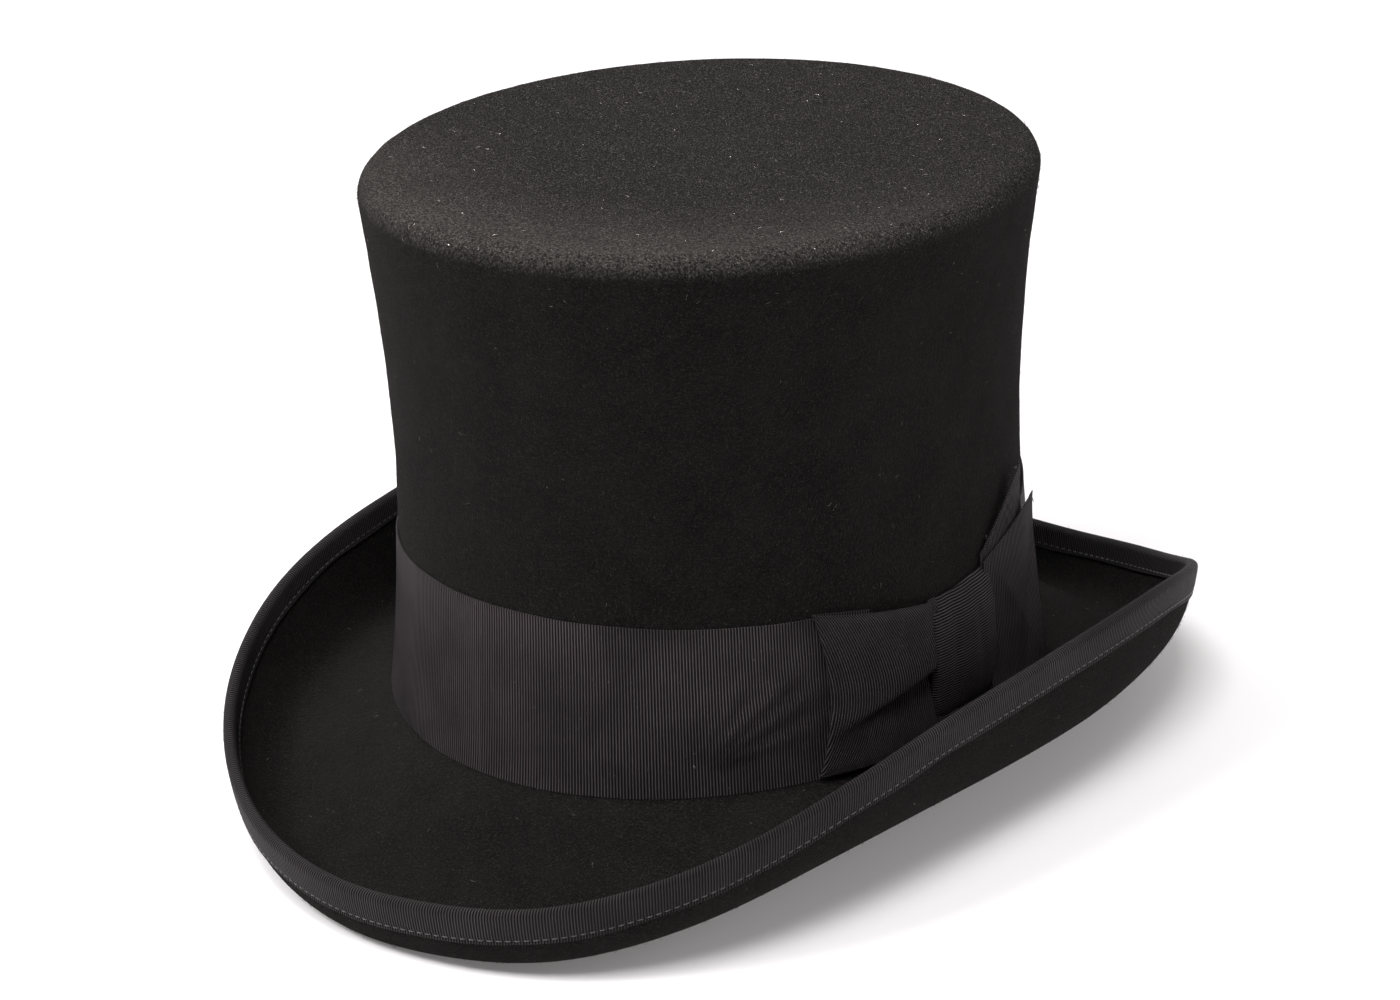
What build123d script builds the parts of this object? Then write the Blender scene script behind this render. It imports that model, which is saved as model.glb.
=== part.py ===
from build123d import *
from math import cos, hypot, pi, radians, sin
import os

# Black felt top hat with a curled, ribbon-bound brim, a ribbon band and a flat side bow.
# Millimetres. Front is -Y, the wearer's left (bow side) is +X, up is +Z.
# Shapes are worked out about the hat line: z = 0 is where the crown meets the brim.
# Every piece is moved at the end, so that the origin is on the floor under the middle.

# ---- crown -------------------------------------------------------------------------
CROWN_LENGTH = 205.0        # front to back at the waist, outside
CROWN_WIDTH = 176.2         # side to side at the waist, outside
CROWN_HEIGHT = 163.0        # hat line to tip, at the middle
CROWN_FLARE = 5.4           # how far the wall stands out at its foot and at its top
CROWN_WAIST = 78.0          # height of the narrowest oval
TIP_ROUND = 6.5             # radius where wall turns into tip
TIP_DROP = 3.8              # the tip's front is this much higher, and its back lower
CROWN_FELT = 2.5            # felt thickness in the crown
WALL_STATIONS = 7           # ovals that the crown is lofted through

# ---- brim --------------------------------------------------------------------------
BRIM_FELT = 2.8             # felt thickness in the brim
BRIM_START_OUT = 5.0        # where the brim's middle line leaves the crown
BRIM_START_UP = 1.0
BRIM_ROOT = 1.3             # how far its root runs into the crown wall
BRIM_SLOPE = -29.0          # degrees, the fall of the brim as it leaves the crown
BRIM_SLOPE_SIDE = -3.0      # extra fall at the two sides
BRIM_END_ANGLE = 84.0       # degrees, nearly upright at the edge
BRIM_CURL_IN = 0.54         # length of the inner handle of the curl, as a share of its chord
BRIM_CURL_IN_SIDE = 0.13
BRIM_CURL_OUT = 0.74        # length of the outer handle
BACK_FALL = 7.0             # degrees, extra fall at the back, so that back and front both touch the floor
BACK_DROP = 2.0             # and how much lower the back edge is for it

# ---- ribbon trim -------------------------------------------------------------------
RIBBON = 0.5                # ribbon thickness, brim binding
BINDING_OUTER = 9.0         # binding's width down the outside of the edge
BINDING_INNER = 6.2         # and down the inside
BINDING_GAP = 0.12          # clearance between binding and felt
BAND_WIDTH = 50.6
BAND_BOTTOM = 2.8           # height of the band's lower edge
BAND_THICK = 0.8
BAND_LIFT = 0.1             # clearance between band and felt
THREAD = 0.35               # stitching thread

# ---- bow, on the wearer's left, in degrees round the oval from +X ---------------------
LOOP_FROM, LOOP_TO = -29.5, -6.6
KNOT_FROM, KNOT_TO = -6.4, 9.6
TAIL_FROM, TAIL_TO = 9.8, 26.5
INNER_TAIL_TO = 23.0
BOW_BOTTOM, BOW_TOP = 4.6, 51.5

# ---- inside ------------------------------------------------------------------------
LINING = 0.4
LINING_BOTTOM = 8.0
SWEATBAND_HEIGHT = 34.0
SWEATBAND = 1.0
SWEATBAND_OFFSET = CROWN_FELT + 1.1     # its outer face, in from the crown's outside
REED_RADIUS = 0.8
TAPE = 0.3
SHIELD_LENGTH, SHIELD_WIDTH = 150.0, 124.0

GAP = 0.05                  # clearance between neighbours that touch in real life
STEPS = 18                  # stretches in half a ring

HALF_LENGTH = CROWN_LENGTH / 2
HALF_WIDTH = CROWN_WIDTH / 2


# ---- shared geometry -----------------------------------------------------------------
def place(angle, out, up):
    """A point at an angle round the hat's oval, a distance out from it, and a height."""
    a = radians(angle)
    nx, ny = HALF_LENGTH * cos(a), HALF_WIDTH * sin(a)
    size = hypot(nx, ny)
    return Vector(HALF_WIDTH * cos(a) + out * nx / size, HALF_LENGTH * sin(a) + out * ny / size, up)


def wall(z):
    """How far the crown's outside stands out from the waist oval at a height."""
    return CROWN_FLARE * ((z - CROWN_WAIST) / CROWN_WAIST) ** 2


def lean(angle, z):
    """Height of a level that follows the slanting tip."""
    return z - TIP_DROP * sin(radians(angle)) * z / CROWN_HEIGHT


def section(angle, edges):
    """A flat face across a ring: edges are lists of (out, up) points, two for a line."""
    drawn = []
    for points in edges:
        spots = [place(angle, out, up) for out, up in points]
        last = len(spots) - 1
        if last == 1:
            drawn.append(Edge.make_line(*spots))
        else:
            drawn.append(Edge.make_spline(spots, parameters=[k / last for k in range(last + 1)]))
    return Face(Wire(drawn))


def strip(profile, start, end, steps=STEPS):
    """A solid through the sections of profile(angle) from start to end degrees."""
    angles = [start + (end - start) * k / steps for k in range(steps + 1)]
    return loft([section(a, profile(a)) for a in angles])


def ring(profile):
    """A closed ring: the +X half of the hat and its mirror image."""
    half = strip(profile, -90, 90)
    return half + mirror(half, about=Plane.YZ)


def wall_profile(inner, outer, bottom, top, points=5):
    """A thin upright section that follows the crown wall between two offsets."""
    def make(angle):
        low, high = bottom(angle), top(angle)
        levels = [low + (high - low) * k / (points - 1) for k in range(points)]
        face_in = [(wall(z) + inner(angle), z) for z in levels]
        face_out = [(wall(z) + outer(angle), z) for z in levels]
        return [
            face_in,
            [face_in[-1], face_out[-1]],
            face_out[::-1],
            [face_out[0], face_in[0]],
        ]
    return make


def level(value):
    return lambda angle: value


def between(start, end, low, high):
    """A smooth change from low to high as the angle goes from start to end."""
    def make(angle):
        share = (angle - start) / (end - start)
        return low + (high - low) * share
    return make


# ---- brim curve ----------------------------------------------------------------------
def brim_reach(a):
    """Distance of the brim's edge out from the waist oval."""
    return 48.6 - 12.3 * cos(2 * a) - 3.8 * cos(4 * a) - 0.7 * sin(a) + 3.8 * sin(3 * a)


def brim_rise(a):
    """Height of the end of the brim's middle line above the hat line."""
    even = 11.4 + 21.0 * cos(2 * a) - 2.2 * cos(4 * a) - 1.6 * cos(6 * a)
    return even + 1.8 * sin(a) + 2.4 * sin(3 * a) - BACK_DROP * backness(a)


def backness(a):
    """One at the very back of the brim, falling to nothing towards the sides."""
    return sin(a) ** 4 * (1 + sin(a)) / 2


def brim_slope(a):
    """Degrees that the brim falls as it leaves the crown."""
    return BRIM_SLOPE + BRIM_SLOPE_SIDE * cos(2 * a) - BACK_FALL * backness(a)


def brim_curve(angle):
    """Four control points of the brim's middle line at an angle."""
    a = radians(angle)
    side = cos(2 * a)
    start = (BRIM_START_OUT, BRIM_START_UP)
    end = (brim_reach(a), brim_rise(a))
    chord = hypot(end[0] - start[0], end[1] - start[1])
    fall = radians(brim_slope(a))
    rise = radians(BRIM_END_ANGLE)
    first = (BRIM_CURL_IN + BRIM_CURL_IN_SIDE * side) * chord
    last = BRIM_CURL_OUT * chord
    leave = (start[0] + first * cos(fall), start[1] + first * sin(fall))
    arrive = (end[0] - last * cos(rise), end[1] - last * sin(rise))
    return start, leave, arrive, end


def brim_point(angle, s, offset):
    """A point s along the brim's middle line, offset to its underside."""
    p = brim_curve(angle)
    r = 1 - s
    spot = [r**3 * p[0][i] + 3 * r * r * s * p[1][i] + 3 * r * s * s * p[2][i] + s**3 * p[3][i]
            for i in range(2)]
    way = [r * r * (p[1][i] - p[0][i]) + 2 * r * s * (p[2][i] - p[1][i]) + s * s * (p[3][i] - p[2][i])
           for i in range(2)]
    size = hypot(*way)
    return (spot[0] + offset * way[1] / size, spot[1] - offset * way[0] / size)


def brim_side(angle, offset, s_from, s_to, points=9):
    """Points along one side of the brim."""
    return [brim_point(angle, s_from + (s_to - s_from) * k / (points - 1), offset) for k in range(points)]


def share_for(angle, offset, distance):
    """How far along the brim a point lies that is a distance back from the edge."""
    s = 1.0
    spot = brim_point(angle, s, offset)
    walked = 0.0
    while walked < distance:
        s -= 0.005
        nxt = brim_point(angle, s, offset)
        walked += hypot(nxt[0] - spot[0], nxt[1] - spot[1])
        spot = nxt
    return s


def nose(angle, radius):
    """Half a circle round the brim's edge, from its underside to its top."""
    end = brim_curve(angle)[3]
    turn = radians(BRIM_END_ANGLE)
    spots = []
    for k in range(5):
        a = turn - pi / 2 + pi * k / 4
        spots.append((end[0] + radius * cos(a), end[1] + radius * sin(a)))
    return spots


# ---- felt ----------------------------------------------------------------------------
def oval(z, inset):
    """A filled oval across the crown, leaning with the tip."""
    slope = TIP_DROP * z / CROWN_HEIGHT / HALF_LENGTH
    plane = Plane(origin=(0, 0, z), x_dir=(1, 0, 0), z_dir=(0, slope, 1))
    return plane * Ellipse(HALF_WIDTH + wall(z) - inset, HALF_LENGTH + wall(z) - inset)


def crown_block(bottom, top, inset):
    """A solid crown with a rounded tip edge."""
    ovals = [oval(bottom + (top - bottom) * k / (WALL_STATIONS - 1), inset) for k in range(WALL_STATIONS)]
    block = loft(ovals)
    rim = block.faces().sort_by(Axis.Z)[-1].edges()
    return fillet(rim, TIP_ROUND - inset)


def brim_profile(angle):
    half = BRIM_FELT / 2
    under = brim_side(angle, half, 0, 1)
    top = brim_side(angle, -half, 1, 0)
    slope = radians(brim_slope(radians(angle)))
    back = (BRIM_ROOT * cos(slope), BRIM_ROOT * sin(slope))
    root_under = (under[0][0] - back[0], under[0][1] - back[1])
    root_top = (top[-1][0] - back[0], top[-1][1] - back[1])
    return [
        [root_under, under[0]],
        under,
        nose(angle, half),
        top,
        [top[-1], root_top],
        [root_top, root_under],
    ]


def felt_body():
    foot = -0.6
    outside = crown_block(foot, CROWN_HEIGHT, 0)
    inside = crown_block(foot - 1, CROWN_HEIGHT - CROWN_FELT, CROWN_FELT)
    return outside - inside + ring(brim_profile)


# ---- brim binding --------------------------------------------------------------------
def binding_profile(angle):
    inner_r = BRIM_FELT / 2 + BINDING_GAP
    outer_r = inner_r + RIBBON
    s_under = share_for(angle, outer_r, BINDING_OUTER)
    s_top = share_for(angle, -outer_r, BINDING_INNER)
    out_under = brim_side(angle, outer_r, s_under, 1, 5)
    out_top = brim_side(angle, -outer_r, 1, s_top, 5)
    in_top = brim_side(angle, -inner_r, s_top, 1, 5)
    in_under = brim_side(angle, inner_r, 1, s_under, 5)
    return [
        out_under,
        nose(angle, outer_r),
        out_top,
        [out_top[-1], in_top[0]],
        in_top,
        nose(angle, inner_r)[::-1],
        in_under,
        [in_under[-1], out_under[0]],
    ]


def stitch_run(side, distance):
    """The section of a run of thread that lies on the binding."""
    def make(angle):
        low = side * (BRIM_FELT / 2 + BINDING_GAP + RIBBON + 0.08)
        high = low + side * THREAD
        s_near = share_for(angle, low, distance)
        s_far = share_for(angle, low, distance + 2 * THREAD)
        corners = [
            brim_point(angle, s_far, low),
            brim_point(angle, s_near, low),
            brim_point(angle, s_near, high),
            brim_point(angle, s_far, high),
        ]
        return [[corners[k], corners[(k + 1) % 4]] for k in range(4)]
    return make


def binding_stitching():
    return [ring(stitch_run(1, 7.6)), ring(stitch_run(-1, 5.0))]


# ---- hat band and bow ----------------------------------------------------------------
def band_top(angle):
    return BAND_BOTTOM + BAND_WIDTH - 2.5 * cos(2 * radians(angle))


def hat_band():
    return ring(wall_profile(level(BAND_LIFT), level(BAND_LIFT + BAND_THICK), level(BAND_BOTTOM), band_top))


BOW_FOOT = BAND_LIFT + BAND_THICK + GAP     # the bow's back, out from the felt


def loop_thickness(angle):
    """The folded loop is thin at its free edge and full near the knot."""
    share = (angle - LOOP_FROM) / (LOOP_TO - LOOP_FROM)
    return BOW_FOOT + 1.6 + 1.8 * sin(pi * (0.15 + 0.7 * share))


def bow_front_loop():
    profile = wall_profile(level(BOW_FOOT), loop_thickness, level(BOW_BOTTOM), level(BOW_TOP))
    return strip(profile, LOOP_FROM, LOOP_TO, 8)


def bow_knot():
    def thickness(angle):
        share = (angle - KNOT_FROM) / (KNOT_TO - KNOT_FROM)
        return BOW_FOOT + 3.4 + 1.2 * sin(pi * share)
    profile = wall_profile(level(BOW_FOOT), thickness, level(BOW_BOTTOM + 2), level(BOW_TOP - 3.5))
    return strip(profile, KNOT_FROM, KNOT_TO, 6)


def bow_tail_outer():
    """The front layer of the cut ends; its free edge stands off the crown."""
    inner = between(TAIL_FROM, TAIL_TO, BOW_FOOT + 2.2, BOW_FOOT + 5.0)
    outer = between(TAIL_FROM, TAIL_TO, BOW_FOOT + 3.2, BOW_FOOT + 6.0)
    top = between(TAIL_FROM, TAIL_TO, 49.0, 58.0)
    return strip(wall_profile(inner, outer, level(BOW_BOTTOM), top), TAIL_FROM, TAIL_TO, 6)


def bow_tail_inner():
    """The back layer, cut to a steeper point above the band."""
    inner = between(TAIL_FROM, INNER_TAIL_TO, BOW_FOOT, BOW_FOOT + 1.8)
    outer = between(TAIL_FROM, INNER_TAIL_TO, BOW_FOOT + 1.0, BOW_FOOT + 2.8)
    top = between(TAIL_FROM, INNER_TAIL_TO, 51.0, 72.0)
    return strip(wall_profile(inner, outer, level(BOW_BOTTOM + 3), top), TAIL_FROM, INNER_TAIL_TO, 6)


def tack(angle, z, lift):
    """One small knot of sewing thread on the ribbon."""
    return Pos(place(angle, wall(z) + lift + 0.6, z)) * Sphere(0.55)


def bow_tacks():
    """Thread knots: on the band in front of the bow and at the tails' points."""
    spots = [
        (-50.2, 12.5, BAND_LIFT + BAND_THICK),
        (24.5, 55.0, BOW_FOOT + 5.75),
        (21.8, 67.5, BOW_FOOT + 2.7),
    ]
    return [tack(angle, z, lift) for angle, z, lift in spots]


# ---- sweatband -----------------------------------------------------------------------
def sweatband():
    outer = -SWEATBAND_OFFSET
    return ring(wall_profile(level(outer - SWEATBAND), level(outer), level(1.7), level(SWEATBAND_HEIGHT)))


REED_OUT = wall(0) - SWEATBAND_OFFSET - SWEATBAND / 2
REED_UP = 0.2


def reed_profile(angle):
    spots = []
    for k in range(9):
        a = 2 * pi * k / 8
        spots.append((REED_OUT + REED_RADIUS * cos(a), REED_UP + REED_RADIUS * sin(a)))
    return [spots[:5], spots[4:]]


def reed_tape_profile(angle):
    """A strip folded under the reed, its long leg behind the sweatband."""
    small = REED_RADIUS + GAP
    large = small + TAPE
    arcs = []
    for radius in (small, large):
        arcs.append([
            (REED_OUT + radius * cos(pi * k / 4), REED_UP - radius * sin(pi * k / 4)) for k in range(5)
        ])
    small_arc, large_arc = arcs
    back_top, front_top = 6.0, 3.0
    back = wall(back_top) - SWEATBAND_OFFSET + 0.1
    front = wall(front_top) - SWEATBAND_OFFSET - SWEATBAND - 0.1
    corners = [
        large_arc[-1],
        (front - TAPE, front_top),
        (front, front_top),
        small_arc[-1],
        small_arc[0],
        (back, back_top),
        (back + TAPE, back_top),
        large_arc[0],
    ]
    front_leg = [[corners[k], corners[k + 1]] for k in range(3)]
    back_leg = [[corners[k], corners[k + 1]] for k in range(4, 7)]
    return [large_arc] + front_leg + [small_arc[::-1]] + back_leg


def sweatband_stitching():
    face = -SWEATBAND_OFFSET - SWEATBAND - 0.03
    return ring(wall_profile(level(face - THREAD), level(face), level(4.0), level(4.7), 3))


REAR_BOW_FACE = -SWEATBAND_OFFSET - SWEATBAND - GAP


def rear_bow_loops():
    """Two small flat loops at the sweatband's joint, at the back."""
    loops = []
    for start, end in ((78.5, 88.3), (91.7, 101.5)):
        middle = (start + end) / 2

        def fullness(angle, middle=middle, half=(end - start) / 2):
            return REAR_BOW_FACE - 0.7 - 1.1 * cos(pi / 2 * (angle - middle) / half)
        profile = wall_profile(fullness, level(REAR_BOW_FACE), level(15), level(21))
        loops.append(strip(profile, start, end, 6))
    return loops


def rear_bow_knot():
    profile = wall_profile(level(REAR_BOW_FACE - 2.2), level(REAR_BOW_FACE), level(14.4), level(21.6))
    return strip(profile, 88.5, 91.5, 3)


# ---- lining --------------------------------------------------------------------------
LINING_OUT = -CROWN_FELT - 0.1
LINING_TOP = CROWN_HEIGHT - CROWN_FELT - 5.5


def lining_side():
    def profile(angle):
        levels = [LINING_BOTTOM + (LINING_TOP - LINING_BOTTOM) * k / 6 for k in range(7)]
        face_in = [(wall(z) + LINING_OUT - LINING, lean(angle, z)) for z in levels]
        face_out = [(wall(z) + LINING_OUT, lean(angle, z)) for z in levels]
        return [face_in, [face_in[-1], face_out[-1]], face_out[::-1], [face_out[0], face_in[0]]]
    return ring(profile)


def tip_disc(z, inset, thickness, length=None, width=None):
    """A thin oval plate that lies with the tip."""
    slope = TIP_DROP * z / CROWN_HEIGHT / HALF_LENGTH
    plane = Plane(origin=(0, 0, z), x_dir=(1, 0, 0), z_dir=(0, slope, 1))
    half_x = width / 2 if width else HALF_WIDTH + wall(z) - inset
    half_y = length / 2 if length else HALF_LENGTH + wall(z) - inset
    return extrude(plane * Ellipse(half_x, half_y), thickness)


def lining_tip():
    return tip_disc(LINING_TOP + 2.6, CROWN_FELT + 0.9, LINING)


def lining_piping():
    """A corded seam between the lining's side and its tip."""
    radius = 0.9
    middle = LINING_TOP + 1.2

    def profile(angle):
        centre = (wall(LINING_TOP) + LINING_OUT - 0.9, lean(angle, middle))
        spots = [
            (centre[0] + radius * cos(pi * k / 4), centre[1] + radius * sin(pi * k / 4)) for k in range(9)
        ]
        return [spots[:5], spots[4:]]
    return ring(profile)


def sweat_shield():
    """A clear oval patch under the lining tip."""
    return tip_disc(LINING_TOP + 2.0, 0, 0.3, SHIELD_LENGTH, SHIELD_WIDTH)


def size_tab():
    """A blank tab tucked between the lining and the sweatband."""
    face = -CROWN_FELT - 0.65
    return strip(wall_profile(level(face - 0.3), level(face), level(26), level(42), 3), 66, 73, 3)


# ---- assembly ------------------------------------------------------------------------
def outer_edge(angle):
    """The brim's outermost reach and lowest point at an angle."""
    skin = brim_side(angle, BRIM_FELT / 2, 0, 1, 60)
    return max(out for out, up in skin), min(up for out, up in skin)


def nodes():
    return {
        "felt_body": felt_body(),
        "brim_binding": ring(binding_profile),
        "binding_stitching": binding_stitching(),
        "hat_band": hat_band(),
        "bow_front_loop": bow_front_loop(),
        "bow_knot": bow_knot(),
        "bow_tail_outer": bow_tail_outer(),
        "bow_tail_inner": bow_tail_inner(),
        "bow_tacks": bow_tacks(),
        "sweatband": sweatband(),
        "sweatband_reed": ring(reed_profile),
        "reed_tape": ring(reed_tape_profile),
        "sweatband_stitching": sweatband_stitching(),
        "rear_bow_loops": rear_bow_loops(),
        "rear_bow_knot": rear_bow_knot(),
        "lining_side": lining_side(),
        "lining_tip": lining_tip(),
        "lining_piping": lining_piping(),
        "sweat_shield": sweat_shield(),
        "size_tab": size_tab(),
    }


def main():
    os.makedirs("parts", exist_ok=True)
    front_reach, front_low = outer_edge(-90)
    back_reach, back_low = outer_edge(90)
    print("front reach", round(front_reach, 2), "low", round(front_low, 2))
    print("back reach", round(back_reach, 2), "low", round(back_low, 2))
    made = nodes()
    felt = Compound(children=[made["felt_body"], made["brim_binding"]]).bounding_box()
    shift = Pos(-(felt.min.X + felt.max.X) / 2, -(felt.min.Y + felt.max.Y) / 2, -felt.min.Z)
    print("moved by", shift.position)
    for name, shape in made.items():
        solids = shape if isinstance(shape, list) else [shape]
        solids = [s for item in solids for s in item.solids()]
        moved = [shift * s for s in solids]
        export_step(moved[0] if len(moved) == 1 else Compound(children=moved), f"parts/{name}.step")


main()
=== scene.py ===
import math

import bpy
import numpy as np
from mathutils import Matrix, Vector


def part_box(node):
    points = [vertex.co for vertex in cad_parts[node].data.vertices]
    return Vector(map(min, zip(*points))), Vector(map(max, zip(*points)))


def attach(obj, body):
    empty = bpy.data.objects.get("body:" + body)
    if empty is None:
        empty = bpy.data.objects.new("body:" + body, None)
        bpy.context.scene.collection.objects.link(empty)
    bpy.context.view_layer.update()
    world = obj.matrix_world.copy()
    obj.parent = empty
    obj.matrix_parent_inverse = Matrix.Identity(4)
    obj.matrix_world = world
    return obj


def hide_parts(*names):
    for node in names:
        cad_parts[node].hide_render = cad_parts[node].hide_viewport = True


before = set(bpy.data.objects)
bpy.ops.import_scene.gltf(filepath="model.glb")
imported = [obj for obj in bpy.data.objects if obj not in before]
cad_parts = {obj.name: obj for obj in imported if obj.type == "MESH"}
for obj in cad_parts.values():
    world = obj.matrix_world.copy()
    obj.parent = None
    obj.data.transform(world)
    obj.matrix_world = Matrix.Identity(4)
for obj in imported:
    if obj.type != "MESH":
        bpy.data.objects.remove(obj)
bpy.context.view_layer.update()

# A black felt top hat. Shapes are worked out in millimetres about the hat line, where the
# crown meets the brim, and placed in the frame by the box of the hat band.
# Front is -Y, the wearer's left (bow side) is +X. Angles run round the oval from +X.
MM = 0.001
TURN = 2 * math.pi

# ---- driving sizes, as in the CAD model -------------------------------------------------
HALF_LENGTH, HALF_WIDTH = 102.5, 88.1       # crown's oval at the waist
CROWN_HEIGHT, CROWN_WAIST, CROWN_FLARE = 163.0, 78.0, 5.4
TIP_ROUND, TIP_DROP, CROWN_FELT = 6.5, 3.8, 2.5
BRIM_FELT, BRIM_START_OUT, BRIM_START_UP = 2.8, 5.0, 1.0
BRIM_SLOPE, BRIM_SLOPE_SIDE, BRIM_END_ANGLE = -29.0, -3.0, 84.0
BRIM_CURL_IN, BRIM_CURL_IN_SIDE, BRIM_CURL_OUT = 0.54, 0.13, 0.74
BACK_FALL, BACK_DROP = 7.0, 2.0
RIBBON, BINDING_OUTER, BINDING_INNER = 0.5, 9.0, 6.2
BAND_BOTTOM, BAND_WIDTH = 2.8, 50.6
LOOP_EDGE, KNOT_LEFT, KNOT_RIGHT = -29.5, -6.5, 9.6     # bow, in degrees
SWEATBAND_OUT, SWEATBAND_THICK, SWEATBAND_TOP = 3.6, 1.0, 34.0
LINING_OUT, LINING_THICK, LINING_BOTTOM, LINING_TOP = 2.6, 0.4, 8.0, 155.0
BOW_FOOT = 1.0                              # how far the bow's underside stands off the felt
BINDING_GAP = 0.06                          # between the binding and the felt
BOW_RIBBON = 0.42                           # thickness
DEGREE_ARC = 1.62                           # length of one degree round the crown

# ---- hand work --------------------------------------------------------------------------
FUZZ_COUNT, PALE_HAIR_COUNT = 14000, 650
BAND_TACK = (-50.2, 12.5)                   # angle in degrees, height
BAND_CREASES = ((12, 1.2, 30, 1.2), (27, 1.6, 36, 1.3), (41, 1.8, 34, 1.4), (58, 1.1, 26, 1.4))
BINDING_STITCH, SWEATBAND_STITCH = (2.7, 2.1, 0.19), (3.0, 2.3, 0.2)    # pitch, length, radius
SWEATBAND_STITCH_UP = 4.35

band_low, band_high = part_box("hat_band")
CENTRE = np.array([
    (band_low[0] + band_high[0]) / 2,
    (band_low[1] + band_high[1]) / 2,
    band_low[2] - BAND_BOTTOM * MM,
])


# ---- the hat's surfaces -----------------------------------------------------------------
def wall(z):
    """How far the crown's outside stands out from the waist oval."""
    return CROWN_FLARE * ((z - CROWN_WAIST) / CROWN_WAIST) ** 2


def place(t, out, up):
    """Points at an angle round the oval, a distance out from it, and a height."""
    t, out, up = np.broadcast_arrays(t, out, up)
    nx, ny = HALF_LENGTH * np.cos(t), HALF_WIDTH * np.sin(t)
    size = np.hypot(nx, ny)
    return np.stack([
        HALF_WIDTH * np.cos(t) + out * nx / size,
        HALF_LENGTH * np.sin(t) + out * ny / size,
        up,
    ], -1)


def on_wall(t, out, z):
    """Points at a distance out from the crown's wall, which leans with the tip."""
    return place(t, wall(z) + out, z - TIP_DROP * np.sin(t) * np.maximum(z - 60, 0) / (CROWN_HEIGHT - 60))


def brim_point(t, s, offset):
    """(out, up) at s along the brim's middle line, offset to its underside."""
    side = np.cos(2 * t)
    back = np.sin(t) ** 4 * (1 + np.sin(t)) / 2
    reach = 48.6 - 12.3 * side - 3.8 * np.cos(4 * t) - 0.7 * np.sin(t) + 3.8 * np.sin(3 * t)
    rise = 11.4 + 21.0 * side - 2.2 * np.cos(4 * t) - 1.6 * np.cos(6 * t)
    rise = rise + 1.8 * np.sin(t) + 2.4 * np.sin(3 * t)
    rise = rise - BACK_DROP * back
    chord = np.hypot(reach - BRIM_START_OUT, rise - BRIM_START_UP)
    fall = np.radians(BRIM_SLOPE + BRIM_SLOPE_SIDE * side - BACK_FALL * back)
    end = math.radians(BRIM_END_ANGLE)
    first = (BRIM_CURL_IN + BRIM_CURL_IN_SIDE * side) * chord
    last = BRIM_CURL_OUT * chord
    xs = (BRIM_START_OUT, BRIM_START_OUT + first * np.cos(fall), reach - last * math.cos(end), reach)
    zs = (BRIM_START_UP, BRIM_START_UP + first * np.sin(fall), rise - last * math.sin(end), rise)
    r = 1 - s
    spot, way = [], []
    for p in (xs, zs):
        spot.append(r**3 * p[0] + 3 * r * r * s * p[1] + 3 * r * s * s * p[2] + s**3 * p[3])
        way.append(r * r * (p[1] - p[0]) + 2 * r * s * (p[2] - p[1]) + s * s * (p[3] - p[2]))
    size = np.hypot(*way)
    return spot[0] + offset * way[1] / size, spot[1] - offset * way[0] / size


def brim_nose(t, radius, turn):
    """(out, up) on a half circle round the brim's edge; turn 0 is its underside, 1 its top."""
    out, up = brim_point(t, np.float64(1.0), 0.0)
    a = math.radians(BRIM_END_ANGLE) - math.pi / 2 + math.pi * turn
    return out + radius * np.cos(a), up + radius * np.sin(a)


def skin_distance(t, offset, steps=200):
    """Distances back from the edge along one side of the brim, for evenly spaced s."""
    s = np.linspace(1, 0, steps)
    out, up = brim_point(t[None, :], s[:, None], offset)
    hops = np.hypot(np.diff(out, axis=0), np.diff(up, axis=0))
    return s, np.concatenate([np.zeros((1, len(t))), np.cumsum(hops, 0)])


def share_back(t, offset, distance):
    """s of the points that lie a distance back from the edge."""
    s, walked = skin_distance(t, offset)
    distance = np.broadcast_to(distance, t.shape)
    return np.array([np.interp(distance[k], walked[:, k], s) for k in range(len(t))])


def handmade(p):
    """A slight unevenness that every piece of the hat shares."""
    x, y, z = p[..., 0], p[..., 1], p[..., 2]
    t = np.arctan2(y, x)
    far = np.clip((np.hypot(x, y) - 112) / 40, 0, 1)
    high = np.clip(z / 160, 0, 1)
    dz = far * (0.7 * np.sin(5 * t + 0.6) + 0.45 * np.sin(9 * t + 2.0) + 0.25 * np.sin(17 * t))
    out = 0.35 * high * np.sin(3 * t + 1.1) + 0.3 * high * np.sin(z / 23 + 2 * t) + 0.3 * far * np.sin(7 * t)
    q = p.copy()
    q[..., 0] += out * np.cos(t)
    q[..., 1] += out * np.sin(t)
    q[..., 2] += dz * 0.6
    return q


# ---- small noise, made of seeded waves --------------------------------------------------
def waves(seed, count, low, high, dims=2):
    """A smooth random function of position: a sum of count waves, low to high cycles a unit."""
    rng = np.random.default_rng(seed)
    ways = rng.normal(size=(count, dims))
    ways /= np.linalg.norm(ways, axis=1, keepdims=True)
    ways *= TURN * rng.uniform(low, high, size=(count, 1))
    phases = rng.uniform(0, TURN, count)

    def value(*coords):
        total = 0.0
        for way, phase in zip(ways, phases):
            total = total + np.sin(sum(c * w for c, w in zip(coords, way)) + phase)
        return total / math.sqrt(count)
    return value


# ---- mesh helpers -----------------------------------------------------------------------
def to_frame(p):
    return handmade(p).reshape(-1, 3) * MM + CENTRE


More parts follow.
